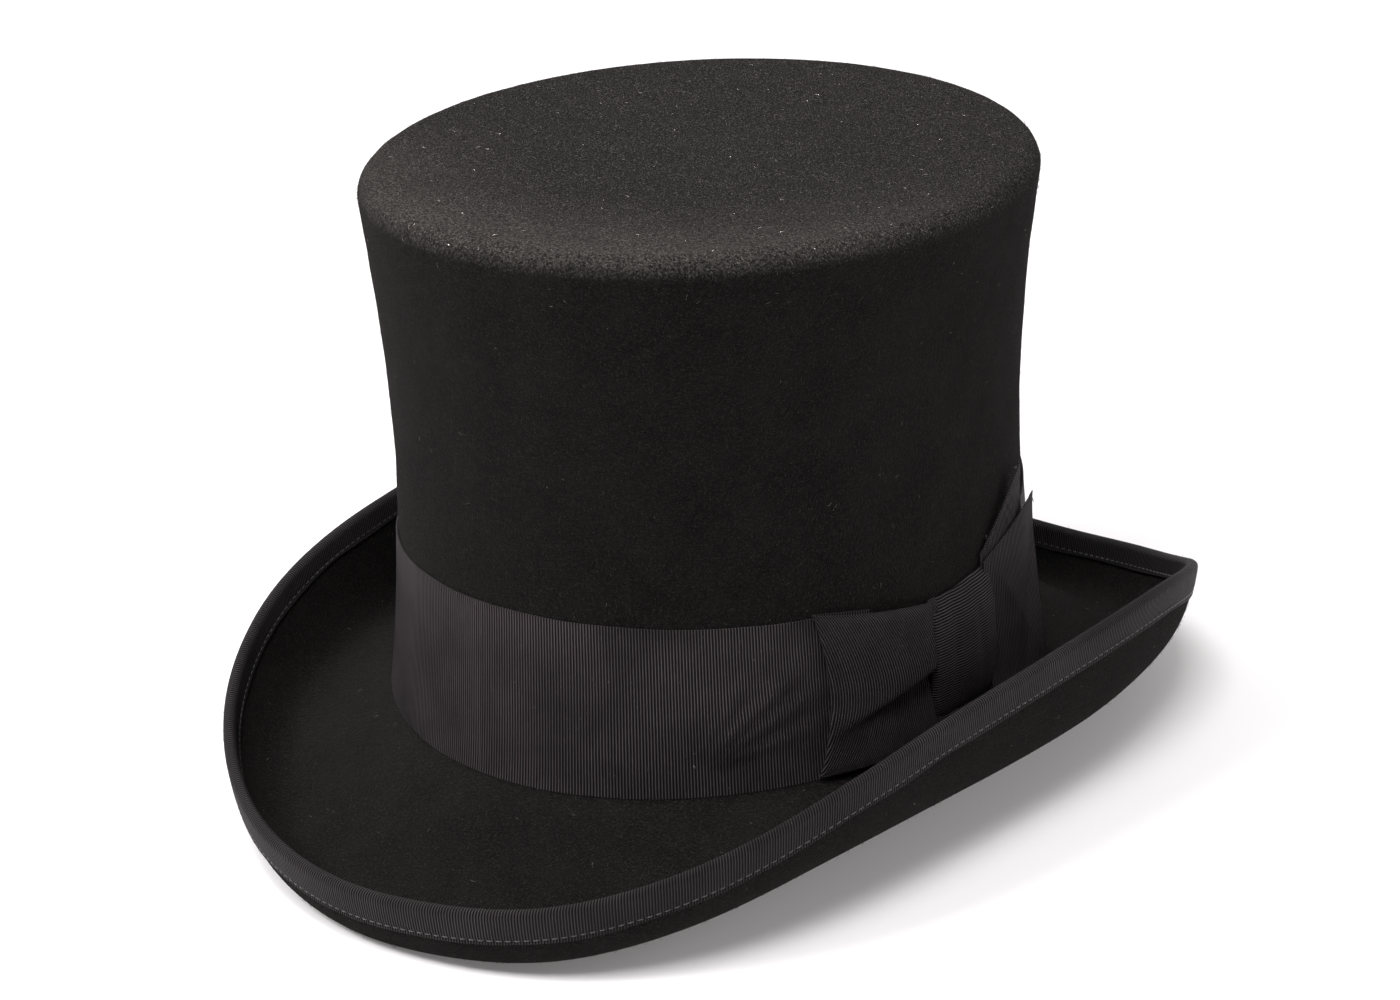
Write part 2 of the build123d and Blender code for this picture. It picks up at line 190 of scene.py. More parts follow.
def make_mesh(name, points, faces, material, smooth=True, uvs=None):
    """A mesh piece that rides on the hat. points are already in the frame, in metres."""
    mesh = bpy.data.meshes.new(name)
    mesh.from_pydata(points.tolist(), [], faces)
    if uvs is not None:
        layer = mesh.uv_layers.new(name="weave")
        layer.data.foreach_set("uv", np.asarray(uvs, float).ravel())
    mesh.polygons.foreach_set("use_smooth", [smooth] * len(mesh.polygons))
    mesh.materials.append(material)
    mesh.update()
    piece = bpy.data.objects.new(name, mesh)
    bpy.context.scene.collection.objects.link(piece)
    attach(piece, "root")
    return piece


def grid_faces(rows, cols, wrap_rows, wrap_cols):
    """Quads over a grid of points, row by row."""
    r = np.arange(rows if wrap_rows else rows - 1)
    c = np.arange(cols if wrap_cols else cols - 1)
    rr, cc = np.meshgrid(r, c, indexing="ij")
    r2, c2 = (rr + 1) % rows, (cc + 1) % cols
    quads = np.stack([rr * cols + cc, rr * cols + c2, r2 * cols + c2, r2 * cols + cc], -1)
    return quads.reshape(-1, 4), rr, cc


def loft(name, p, material, wrap_rows=True, wrap_cols=True, along=None, across=None, caps=False):
    """A mesh over a grid of points p[row, col]; along and across are its weave in millimetres."""
    rows, cols = p.shape[:2]
    quads, rr, cc = grid_faces(rows, cols, wrap_rows, wrap_cols)
    uvs = None
    if along is not None:
        u = np.stack([along[rr, cc], along[rr, cc + 1], along[(rr + 1) % rows, cc + 1],
                      along[(rr + 1) % rows, cc]], -1)
        v = np.stack([across[rr, cc], across[rr, cc + 1], across[(rr + 1) % rows, cc + 1],
                      across[(rr + 1) % rows, cc]], -1)
        uvs = np.stack([u, v], -1).reshape(-1, 2)
    faces = quads.tolist()
    if caps:
        first = [r * cols for r in range(rows)]
        last = [r * cols + cols - 1 for r in range(rows)][::-1]
        faces += [first, last]
        if uvs is not None:
            extra = [[along[r, 0], across[r, 0]] for r in range(rows)]
            extra += [[along[r, cols - 1], across[r, cols - 1]] for r in range(rows)][::-1]
            uvs = np.concatenate([uvs, np.array(extra)])
    return make_mesh(name, to_frame(p), faces, material, uvs=uvs)


def seam_column(values):
    """Repeats a closed ring's first column at its end, for the weave's run past the seam."""
    return np.concatenate([values, values[:, :1]], 1)


def ring_length(p):
    """Running length along each column of a closed ring's middle row, seam column included."""
    middle = p[p.shape[0] // 4]
    closed = np.concatenate([middle, middle[:1]])
    hops = np.linalg.norm(np.diff(closed, axis=0), axis=1)
    return np.concatenate([[0.0], np.cumsum(hops)])


def around(count, start=0.0):
    return start + np.arange(count) * TURN / count


# ---- materials --------------------------------------------------------------------------
class Nodes:
    """A short way to write a node tree."""

    def __init__(self, name):
        self.material = bpy.data.materials.new(name)
        self.material.use_nodes = True
        self.tree = self.material.node_tree
        self.shader = self.tree.nodes["Principled BSDF"]

    def add(self, kind, inputs=None, **settings):
        node = self.tree.nodes.new(kind)
        for key, value in settings.items():
            setattr(node, key, value)
        for key, value in (inputs or {}).items():
            self.put(node.inputs[key], value)
        return node

    def put(self, socket, value):
        if isinstance(value, bpy.types.NodeSocket):
            self.tree.links.new(value, socket)
        else:
            socket.default_value = value

    def math(self, operation, a, b=0.0, clamp=False):
        node = self.add("ShaderNodeMath", operation=operation, use_clamp=clamp)
        self.put(node.inputs[0], a)
        self.put(node.inputs[1], b)
        return node.outputs[0]

    def noise(self, vector, scale, detail=3.0, roughness=0.55):
        node = self.add("ShaderNodeTexNoise", {"Vector": vector, "Scale": scale, "Detail": detail,
                                               "Roughness": roughness})
        return node.outputs["Fac"]

    def spread(self, value, low, high, to_low, to_high):
        node = self.add("ShaderNodeMapRange", {"Value": value, "From Min": low, "From Max": high,
                                               "To Min": to_low, "To Max": to_high})
        return node.outputs["Result"]

    def mix(self, share, a, b):
        node = self.add("ShaderNodeMix", data_type="RGBA")
        self.put(node.inputs["Factor"], share)
        self.put(node.inputs["A"], a)
        self.put(node.inputs["B"], b)
        return node.outputs["Result"]

    def bump(self, height, distance, strength=1.0, under=None):
        node = self.add("ShaderNodeBump", {"Height": height, "Distance": distance, "Strength": strength})
        if under is not None:
            self.put(node.inputs["Normal"], under)
        return node.outputs["Normal"]

    def finish(self, **sockets):
        for key, value in sockets.items():
            self.put(self.shader.inputs[key.replace("_", " ")], value)
        return self.material

    def place(self):
        return self.add("ShaderNodeTexCoord").outputs["Object"]

    def weave(self):
        """(along, across) in millimetres."""
        uv = self.add("ShaderNodeUVMap", uv_map="weave").outputs["UV"]
        parts = self.add("ShaderNodeSeparateXYZ", {"Vector": uv})
        return parts.outputs["X"], parts.outputs["Y"]


def grey(value, warm=0.0):
    return (value * (1 + warm), value, value * (1 - warm * 0.6), 1.0)


def plum(value):
    """The faint purple of black-dyed ribbon."""
    return (value * 1.14, value * 0.95, value * 1.02, 1.0)


def felt_material(name, base, sheen, nap):
    """Pressed wool: clumps, fine fibre grain and a brownish nap; the tip is painted paler on top, with a
    painted highlight inside its front rim and a darker middle.
    """
    n = Nodes(name)
    spot = n.place()
    clumps = n.noise(spot, 60.0, 4.0, 0.6)
    grain = n.noise(spot, 1150.0, 4.0, 0.75)
    flecks = n.noise(spot, 2300.0, 2.0, 0.6)
    parts = n.add("ShaderNodeSeparateXYZ", {"Vector": spot})
    # The tip's nap is painted paler than the crown's side: partly dust on the tip, partly painted light
    # falling on the top.
    slant = n.math("MULTIPLY", parts.outputs["Y"], TIP_DROP / HALF_LENGTH)
    up = n.math("ADD", parts.outputs["Z"], slant)
    paled = n.math("MULTIPLY", n.spread(up, 0.1865, 0.1915, 0.0, 1.0), n.spread(clumps, 0.3, 0.7, 0.75, 1.0))
    # Painted highlight: a lighter ring inside the tip's rim on the front side, where the dished tip's slope
    # catches light; the rest of the tip stays painted darker.
    from_middle = n.add("ShaderNodeVectorMath", {"Vector": spot}, operation="MULTIPLY")
    from_middle.inputs[1].default_value = (1 / (HALF_WIDTH * MM), 1 / (HALF_LENGTH * MM), 0.0)
    reach = n.add("ShaderNodeVectorMath", {"Vector": from_middle.outputs["Vector"]}, operation="LENGTH")
    near_edge = n.spread(reach.outputs["Value"], 0.45, 0.93, 0.0, 1.0)
    nearness = n.math("SUBTRACT", n.math("MULTIPLY", parts.outputs["X"], 0.3), parts.outputs["Y"])
    lightened = n.math("MULTIPLY", near_edge, n.spread(nearness, -0.01, 0.085, 0.05, 1.0))
    dark = n.mix(n.spread(clumps, 0.35, 0.7, 0.0, 1.0), grey(base * 0.3, 0.05), grey(base * 1.2, 0.07))
    light = n.mix(n.spread(grain, 0.45, 0.68, 0.0, 1.0), dark, grey(base * 3.2, 0.10))
    hairs = n.mix(n.spread(flecks, 0.64, 0.72, 0.0, 1.0), light, grey(base * 11.0, 0.08))
    tip_dark = n.mix(lightened, grey(base * 0.2, 0.08), grey(base * 2.6, 0.10))
    tip_light = n.mix(lightened, grey(base * 5.4, 0.12), grey(base * 21.0, 0.12))
    tip_nap = n.mix(n.spread(grain, 0.42, 0.64, 0.0, 1.0), tip_dark, tip_light)
    tip_nap = n.mix(n.spread(flecks, 0.60, 0.68, 0.0, 1.0), tip_nap, grey(base * 48.0, 0.08))
    hairs = n.mix(paled, hairs, tip_nap)
    normal = n.bump(clumps, 0.0012, 0.5)
    normal = n.bump(grain, 0.0009, 1.0, normal)
    normal = n.bump(flecks, 0.0004, 0.9, normal)
    rough = n.spread(grain, 0.3, 0.7, 0.86, 1.0)
    return n.finish(Base_Color=hairs, Roughness=rough, Normal=normal, Sheen_Weight=sheen,
                    Sheen_Roughness=nap, Sheen_Tint=(0.9, 0.8, 0.78, 1.0), Specular_IOR_Level=0.03)


def grosgrain_material(name, base, pitch, sheen, tint, gloss=0.42, contrast=1.0, spec=0.2):
    """Corded ribbon: ribs across its length with painted shade in their grooves, fine warp threads, a soft
    sheen.
    """
    n = Nodes(name)
    along, across = n.weave()
    spot = n.place()
    drift = n.noise(spot, 160.0, 2.0)
    wander = n.math("MULTIPLY", n.math("SUBTRACT", drift, 0.5), 0.12)
    phase = n.math("MULTIPLY", n.math("ADD", along, wander), TURN / pitch)
    rib = n.math("ADD", n.math("MULTIPLY", n.math("SINE", phase), 0.5), 0.5)
    warp_phase = n.math("MULTIPLY", across, TURN / 0.32)
    warp = n.math("ADD", n.math("MULTIPLY", n.math("SINE", warp_phase), 0.5), 0.5)
    height = n.math("ADD", rib, n.math("MULTIPLY", warp, 0.16))
    # Painted shade and highlight on the ribs: the colour drops to a few percent in the grooves and rises on
    # the crests.
    crest = n.math("POWER", rib, 2.2)
    blotch = n.noise(spot, 38.0, 4.0, 0.6)
    lint = n.noise(spot, 1500.0, 1.0)
    dark = n.mix(n.spread(blotch, 0.35, 0.7, 0.0, 1.0), plum(base * 1.1), plum(base * 2.4))
    light = n.mix(n.math("MULTIPLY", crest, contrast), plum(base * 0.06), dark)
    paled = n.mix(n.spread(lint, 0.72, 0.86, 0.0, 0.6), light, grey(base * 5.0, 0.05))
    normal = n.bump(height, 0.0008, 1.0)
    normal = n.bump(drift, 0.0003, 0.35, normal)
    rough = n.spread(rib, 0.0, 1.0, 0.75, gloss)
    return n.finish(Base_Color=paled, Roughness=rough, Normal=normal, Sheen_Weight=sheen,
                    Sheen_Roughness=0.4, Sheen_Tint=tint, Specular_IOR_Level=spec)


def thread_material(name, base):
    n = Nodes(name)
    spot = n.place()
    twist = n.add("ShaderNodeTexWave", {"Vector": spot, "Scale": 900.0, "Distortion": 1.0},
                  wave_type="BANDS", bands_direction="DIAGONAL").outputs["Fac"]
    fuzz = n.noise(spot, 700.0)
    colour = n.mix(n.spread(fuzz, 0.3, 0.7, 0.0, 1.0), grey(base * 0.7), grey(base * 1.6))
    return n.finish(Base_Color=colour, Roughness=0.55, Normal=n.bump(twist, 0.00012, 0.8), Sheen_Weight=0.3)


def leather_material():
    """Smooth sweatband leather with fine pores and creases."""
    n = Nodes("sweatband_leather")
    spot = n.place()
    cells = n.add("ShaderNodeTexVoronoi", {"Vector": spot, "Scale": 1300.0}, feature="F1")
    pores = cells.outputs["Distance"]
    creases = n.noise(spot, 260.0, 5.0, 0.6)
    patina = n.noise(spot, 24.0, 4.0)
    colour = n.mix(n.spread(patina, 0.3, 0.75, 0.0, 1.0), (0.030, 0.017, 0.011, 1), (0.075, 0.041, 0.025, 1))
    lightened = n.mix(n.spread(creases, 0.62, 0.8, 0.0, 0.5), colour, (0.12, 0.07, 0.045, 1))
    normal = n.bump(creases, 0.0004, 0.5)
    normal = n.bump(pores, 0.00012, 0.6, normal)
    return n.finish(Base_Color=lightened, Roughness=n.spread(creases, 0.3, 0.7, 0.36, 0.6), Normal=normal)


def satin_material(name, base):
    """Satin: fine diagonal float threads, glossy along the folds."""
    n = Nodes(name)
    along, across = n.weave()
    floats = n.math("SINE", n.math("MULTIPLY", n.math("ADD", along, n.math("MULTIPLY", across, 0.35)), 11.0))
    spot = n.place()
    cloud = n.noise(spot, 30.0, 3.0)
    colour = n.mix(n.spread(cloud, 0.3, 0.7, 0.0, 1.0), grey(base * 0.8), grey(base * 1.4))
    threads = n.mix(n.spread(floats, -1.0, 1.0, 0.0, 0.45), colour, grey(base * 2.2))
    return n.finish(Base_Color=threads, Roughness=n.spread(cloud, 0.3, 0.7, 0.26, 0.38),
                    Normal=n.bump(floats, 0.00006, 0.5), Sheen_Weight=0.25, Sheen_Roughness=0.3)


def plain_cloth_material(name, colour_a, colour_b, rough=0.6):
    """Coated tape and woven tab: a small even weave."""
    n = Nodes(name)
    spot = n.place()
    weave = n.add("ShaderNodeTexWave", {"Vector": spot, "Scale": 420.0, "Distortion": 0.6},
                  wave_type="BANDS", bands_direction="Z").outputs["Fac"]
    cloud = n.noise(spot, 120.0, 4.0)
    colour = n.mix(n.spread(cloud, 0.3, 0.7, 0.0, 1.0), colour_a, colour_b)
    return n.finish(Base_Color=colour, Roughness=rough, Normal=n.bump(weave, 0.0001, 0.6))


def film_material():
    """Thin clear vinyl with faint ripples."""
    n = Nodes("clear_vinyl")
    spot = n.place()
    ripple = n.noise(spot, 45.0, 2.0)
    return n.finish(Base_Color=(0.10, 0.105, 0.105, 1.0), Roughness=n.spread(ripple, 0.3, 0.7, 0.06, 0.16),
                    Normal=n.bump(ripple, 0.0008, 0.4), Alpha=0.2, Specular_IOR_Level=0.5)


def reed_material():
    n = Nodes("reed_plastic")
    spot = n.place()
    drawn = n.noise(spot, 300.0, 2.0)
    colour = n.mix(n.spread(drawn, 0.3, 0.7, 0.0, 1.0), (0.5, 0.47, 0.4, 1), (0.62, 0.6, 0.52, 1))
    return n.finish(Base_Color=colour, Roughness=n.spread(drawn, 0.3, 0.7, 0.35, 0.5))


FELT = felt_material("wool_felt", 0.0042, 0.042, 0.45)
FUZZ = felt_material("wool_fuzz", 0.012, 0.1, 0.6)
PALE_HAIR = felt_material("pale_hair", 0.2, 0.3, 0.5)
BAND = grosgrain_material("band_grosgrain", 0.040, 0.92, 0.025, (0.84, 0.72, 0.78, 1.0), spec=0.08)
BOW = grosgrain_material("bow_grosgrain", 0.029, 0.86, 0.03, (0.84, 0.74, 0.78, 1.0), spec=0.07)
BINDING = grosgrain_material("binding_grosgrain", 0.022, 0.86, 0.03, (0.84, 0.76, 0.8, 1.0), spec=0.08)
THREAD = thread_material("black_thread", 0.03)
BROWN_THREAD = thread_material("brown_thread", 0.06)
LEATHER = leather_material()
SATIN = satin_material("lining_satin", 0.018)
TAPE = plain_cloth_material("reed_tape_cloth", grey(0.012), grey(0.03), 0.5)
TAB = plain_cloth_material("tab_cloth", (0.6, 0.59, 0.55, 1), (0.72, 0.7, 0.66, 1), 0.8)
FILM = film_material()
REED = reed_material()


# ---- felt body --------------------------------------------------------------------------
def felt_rows(t):
    """Rings of points from the middle of the tip, over the brim's edge, to the middle inside."""
    lean = -TIP_DROP * np.sin(t)
    slack = waves(3, 10, 0.004, 0.012)
    rows = []

    def flat(radius_x, radius_y, z, inner):
        x, y = radius_x * np.cos(t), radius_y * np.sin(t)
        share = np.hypot(x / HALF_WIDTH, y / HALF_LENGTH)
        dish = -1.1 * (1 - np.clip(share, 0, 1) ** 2) + 0.35 * slack(x, y) * np.clip(1.1 - share, 0, 1)
        rows.append(np.stack([x, y, z + lean * y_share(y) + (0 if inner else 1) * dish], -1))

    def y_share(y):
        sine = np.sin(t)
        slanting = np.abs(sine) > 1e-9
        return np.where(slanting, y / (HALF_LENGTH * np.where(slanting, sine, 1)), 0)

    def cap(height, inset, round_r, outward):
        top = wall(height - round_r) - inset
        centre = top - round_r
        tip = []
        for share in np.linspace(0.015, 1, 34):
            tip.append(("flat", share))
        bends = np.linspace(math.pi / 2, 0.06, 12)[1:]
        sequence = tip + [("bend", b) for b in bends]
        if not outward:
            sequence = sequence[::-1]
        for kind, value in sequence:
            if kind == "flat":
                flat((HALF_WIDTH + centre) * value, (HALF_LENGTH + centre) * value, height, not outward)
            else:
                out = centre + round_r * math.cos(value)
                z = height - round_r + round_r * math.sin(value)
                x, y = (HALF_WIDTH + out) * np.cos(t), (HALF_LENGTH + out) * np.sin(t)
                rows.append(np.stack([x, y, z + lean], -1))

    cap(CROWN_HEIGHT, 0.0, TIP_ROUND, True)
    for z in np.linspace(CROWN_HEIGHT - TIP_ROUND - 2.5, 3.2, 60):
        rows.append(on_wall(t, 0.0, z))
    half = BRIM_FELT / 2
    for s in np.concatenate([[0.02, 0.05], np.linspace(0.08, 1, 40)]):
        rows.append(place(t, *brim_point(t, s, -half)))
    for turn in (0.8, 0.6, 0.4, 0.2):
        rows.append(place(t, *brim_nose(t, half, turn)))
    for s in np.concatenate([np.linspace(1, 0.08, 40), [0.04, 0.0]]):
        rows.append(place(t, *brim_point(t, s, half)))
    for z in np.linspace(1.5, CROWN_HEIGHT - TIP_ROUND - 2.5, 36):
        rows.append(on_wall(t, -CROWN_FELT, z))
    cap(CROWN_HEIGHT - CROWN_FELT, CROWN_FELT, TIP_ROUND - CROWN_FELT, False)
    return np.array(rows)


def felt_body():
    t = around(480)
    p = felt_rows(t)
    pulp = waves(11, 24, 0.02, 0.09, 3)
    nudge = 0.10 * pulp(p[..., 0], p[..., 1], p[..., 2])
    outward = p.copy()
    outward[..., 2] = 0
    outward /= np.maximum(np.linalg.norm(outward, axis=-1, keepdims=True), 1e-6)
    bare = np.clip((p[..., 2:3] - 58) / 12, 0, 1)
    p = p + outward * nudge[..., None] * bare
    rows, cols = p.shape[:2]
    quads, _, _ = grid_faces(rows, cols, False, True)
    points = to_frame(p)
    points[:, 2] = np.maximum(points[:, 2], 0.0)
    faces = [q[::-1] for q in quads.tolist()]
    centres = []
    for row, flip in ((0, False), (rows - 1, True)):
        ring = list(range(row * cols, (row + 1) * cols))
        centres.append(points[ring].mean(0))
        hub = len(points) + len(centres) - 1
        for k in range(cols):
            a, b = ring[k], ring[(k + 1) % cols]
            faces.append([hub, b, a] if flip else [hub, a, b])
    points = np.concatenate([points, np.array(centres)])
    body = make_mesh("felt_hood", points, faces, FELT)
    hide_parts("felt_body")
    return p


def fibres(name, roots, normals, rng, length, lift, width, material):
    """Short curved hairs that lie on a surface: three-sided tubes with closed ends."""
    count = len(roots)
    random_way = rng.normal(size=(count, 3))
    flat_way = random_way - (random_way * normals).sum(1, keepdims=True) * normals
    flat_way /= np.linalg.norm(flat_way, axis=1, keepdims=True)
    side = np.cross(normals, flat_way)
    size = rng.uniform(*length, (count, 1))
    rise = rng.uniform(*lift, (count, 1))
    bend = rng.normal(0, 0.3, (count, 1)) * size
    points, faces = [], []
    for k, share in enumerate((0.0, 0.5, 1.0)):
        centre = roots + flat_way * size * share + side * bend * share**2
        centre = centre + normals * (rise * math.sin(share * 2.2) - 0.08)
        thick = width * (1.0, 0.85, 0.4)[k]
        for j in range(3):
            a = TURN * j / 3
            points.append(centre + thick * (math.cos(a) * side + math.sin(a) * normals))
    points = np.stack(points, 1).reshape(-1, 3)
    for i in range(count):
        base = 9 * i
        faces.append([base + 2, base + 1, base])
        for ring in (0, 3):
            for j in range(3):
                a, b = base + ring + j, base + ring + (j + 1) % 3
                faces.append([a, b, b + 3, a + 3])
        faces.append([base + 6, base + 7, base + 8])
    return make_mesh(name, to_frame(points), faces, material, smooth=False)


def felt_fuzz(p):
    """Loose wool that stands off the felt, and a few paler hairs."""
    rng = np.random.default_rng(21)
    outer_rows = p.shape[0] - 84
    row_way = np.gradient(p, axis=0)
    col_way = np.roll(p, -1, 1) - np.roll(p, 1, 1)
    normal = np.cross(col_way, row_way)
    normal /= np.maximum(np.linalg.norm(normal, axis=-1, keepdims=True), 1e-9)
    area = np.linalg.norm(np.cross(col_way, row_way), axis=-1)[:outer_rows]
    area[:3] = 0
    area[3:48] *= 2.2
    from_axis = np.hypot(p[:outer_rows, :, 0], p[:outer_rows, :, 1])
    hidden = (np.abs(p[:outer_rows, :, 2] - 28) < 26) & (from_axis < 112)
    area[hidden] = 0
    area[p[:outer_rows, :, 2] < -27.5] = 0
    chance = (area / area.sum()).ravel()

    def pick(count):
        spots = rng.choice(len(chance), count, p=chance)
        r, c = spots // p.shape[1], spots % p.shape[1]
        jitter = rng.uniform(-0.6, 0.6, (count, 1)) * col_way[r, c] / 2
        return p[r, c] + jitter, -normal[r, c]

    roots, ways = pick(FUZZ_COUNT)
    fibres("felt_fuzz", roots, ways, rng, (0.8, 2.6), (0.1, 0.75), 0.04, FUZZ)
    roots, ways = pick(PALE_HAIR_COUNT)
    fibres("pale_hairs", roots, ways, rng, (0.5, 1.9), (0.08, 0.35), 0.035, PALE_HAIR)


# ---- ribbons ----------------------------------------------------------------------------
def sheet_loop(front, back):
    """Closes a front and a back grid of rows into one wrapped grid."""
    return np.concatenate([front, back[::-1]])


def edge_share(rows):
    """Rows across a ribbon, closer together at its two edges."""
    return 0.5 - 0.5 * np.cos(math.pi * np.linspace(0, 1, rows))


def hat_band():
    cols, rows = 1100, 44
    t = around(cols, -math.pi / 2)
    v = edge_share(rows)[:, None]
    ripple = waves(31, 8, 0.6, 1.6, 1)
    deg = np.degrees(t)
    dip = np.where(deg < -7, np.clip((deg + 31) / 24, 0, 1), np.clip((30 - deg) / 18, 0, 1))
    top = BAND_BOTTOM + BAND_WIDTH - 2.5 * np.cos(2 * t) + 0.12 * ripple(t * 3)
    top = top - 6.2 * dip * dip * (3 - 2 * dip)
    low = BAND_BOTTOM + 0.1 + 0.1 * ripple(t * 3 + 9)
    z = low + (top - low) * v
    tt = np.broadcast_to(t, z.shape)
    arc = np.degrees(tt) * DEGREE_ARC
    pull = np.zeros_like(z)
    tack_arc, tack_z = BAND_TACK[0] * DEGREE_ARC, BAND_TACK[1]
    for angle, size, reach, wide in BAND_CREASES:
        a = math.radians(angle)
        far = (arc - tack_arc) * math.cos(a) + (z - tack_z) * math.sin(a)
        off = -(arc - tack_arc) * math.sin(a) + (z - tack_z) * math.cos(a)
        fade = np.clip((far - 3) / 9, 0, 1) * np.exp(-(far / reach) ** 2)
        pull = np.maximum(pull, size * fade * np.exp(-(off / (wide + 0.05 * np.maximum(far, 0))) ** 2))
    slack = waves(37, 9, 0.01, 0.03)
    soft = 0.22 * (slack(arc, z) + 1.2) * np.sin(math.pi * v)
    dimple = np.exp(-((arc - tack_arc) ** 2 + (z - tack_z) ** 2) / 5.0)
    lift = 0.15 + np.maximum(pull + soft - 1.2 * dimple * (pull + soft), 0)
    bead = 0.10 * (np.exp(-((v * 50) / 0.9) ** 2) + np.exp(-(((1 - v) * 50) / 0.9) ** 2))
    thick = 0.5 + bead
    front = place(tt, wall(z) + lift + thick, z)
    back = place(tt, wall(z) + lift, z)
    p = sheet_loop(front, back)
    length = ring_length(front)
    along = np.broadcast_to(length, (2 * rows, cols + 1))
    across = seam_column(sheet_loop(z, z))
    piece = loft("band_ribbon", p, BAND, along=along, across=across)
    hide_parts("hat_band")


def binding_path(t):
    """Cross-section of the folded binding: its outside first, then its inside."""
    uneven = waves(41, 8, 0.8, 2.4, 1)
    inner_r = BRIM_FELT / 2 + BINDING_GAP
    outer_r = inner_r + RIBBON
    low = BINDING_OUTER + 0.25 * uneven(t * 2)
    high = BINDING_INNER + 0.25 * uneven(t * 2 + 5)
    sides = {}
    for name, r in (("outside", outer_r), ("inside", inner_r)):
        s_low, s_high = share_back(t, r, low), share_back(t, -r, high)
        rows = []
        for share in edge_share(14):
            s = s_low + (1 - s_low) * share
            snug = -0.3 * np.exp(-((1 - s) / np.maximum(1 - s_low, 1e-6) - 0.84) ** 2 / 0.006)
            rows.append(place(t, *brim_point(t, s, r + (snug if name == "outside" else 0))))
        for turn in np.linspace(0, 1, 9)[1:-1]:
            rows.append(place(t, *brim_nose(t, r, turn)))
        for share in edge_share(11):
            s = 1 + (s_high - 1) * share
            snug = -0.2 * np.exp(-((1 - s) / np.maximum(1 - s_high, 1e-6) - 0.8) ** 2 / 0.008)
            rows.append(place(t, *brim_point(t, s, -r - (snug if name == "outside" else 0))))
        sides[name] = np.array(rows)
    return sides["outside"], sides["inside"]


def brim_binding():
    t = around(1500, -math.pi / 2)
    front, back = binding_path(t)
    pucker = 0.05 * np.sin(ring_length(front)[:-1] * TURN / 2.7)
    hops = np.linalg.norm(np.diff(front, axis=0), axis=-1).mean(1)
    across_rows = np.concatenate([[0.0], np.cumsum(hops)])
    for row, width in enumerate(across_rows):
        weight = math.exp(-((width - 1.4) / 1.0) ** 2)
        front[row, :, 2] += pucker * weight
    p = sheet_loop(front, back)
    crest = np.concatenate([front[17], front[17][:1]])
    length = np.concatenate([[0.0], np.cumsum(np.linalg.norm(np.diff(crest, axis=0), axis=1))])
    along = np.broadcast_to(length, (len(p), len(length)))
    widths = np.concatenate([across_rows, across_rows[::-1]])
    across = np.broadcast_to(widths[:, None], along.shape)
    piece = loft("edge_binding", p, BINDING, along=along, across=across)
    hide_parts("brim_binding")


def stitches(name, path, normal, sizes, material, node):
    """A row of separate stitches along a closed path, each sinking at its ends."""
    pitch, stitch, radius = sizes
    closed = np.concatenate([path, path[:1]])
    length = np.concatenate([[0.0], np.cumsum(np.linalg.norm(np.diff(closed, axis=0), axis=1))])
    up = np.concatenate([normal, normal[:1]])
    count = int(length[-1] / pitch)
    points, faces = [], []
    for k in range(count):
        centre = (k + 0.5) * length[-1] / count
        rings = []
        for j in range(5):
            share = j / 4 * 2 - 1
            where = centre + share * stitch / 2
            spot = np.array([np.interp(where, length, closed[:, i]) for i in range(3)])
            lift = np.array([np.interp(where, length, up[:, i]) for i in range(3)])
            ahead = np.array([np.interp(where + 0.3, length, closed[:, i]) for i in range(3)]) - spot
            ahead /= max(np.linalg.norm(ahead), 1e-9)
            side = np.cross(ahead, lift)
            spot = spot + lift * radius * (0.75 - 1.5 * share**4)
            fat = radius * (1 - 0.35 * share**4)
            turns = [TURN * m / 6 for m in range(6)]
            rings.append([spot + fat * (math.cos(a) * side + math.sin(a) * lift) for a in turns])
        base = len(points)
        for ring in rings:
            points.extend(ring)
        faces.append([base + m for m in range(6)][::-1])
        for j in range(4):
            for m in range(6):
                a, b = base + 6 * j + m, base + 6 * j + (m + 1) % 6
                faces.append([a, b, b + 6, a + 6])
        faces.append([base + 24 + m for m in range(6)])
    piece = make_mesh(name, to_frame(np.array(points)), faces, material)
    if node:
        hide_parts(node)
    return piece


def binding_stitches():
    t = around(720)
    for name, side, distance in (("binding_stitches_outer", 1, 7.5), ("binding_stitches_inner", -1, 4.9)):
        r = side * (BRIM_FELT / 2 + BINDING_GAP + RIBBON - 0.26)
        s = share_back(t, r, distance)
        path = place(t, *brim_point(t, s, r))
        above = place(t, *brim_point(t, s, r + side))
        normal = above - path
        normal /= np.linalg.norm(normal, axis=1, keepdims=True)
        stitches(name, path, normal, BINDING_STITCH, THREAD, "binding_stitching")


# ---- bow --------------------------------------------------------------------------------
def ribbon_patch(name, t, z, lift, thick, across, node):
    """A ribbon of even thickness over grids of angle, height and distance off the felt."""
    front = place(t, wall(z) + lift + thick, z)
    back = place(t, wall(z) + lift, z)
    p = sheet_loop(front, back)
    hops = np.linalg.norm(np.diff(front, axis=1), axis=-1)
    run = np.concatenate([np.zeros((len(z), 1)), np.cumsum(hops, 1)], 1)
    along = sheet_loop(run, run)
    cross = sheet_loop(across, across)
    piece = loft(name, p, BOW, wrap_cols=False, along=along, across=cross, caps=True)
    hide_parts(node)


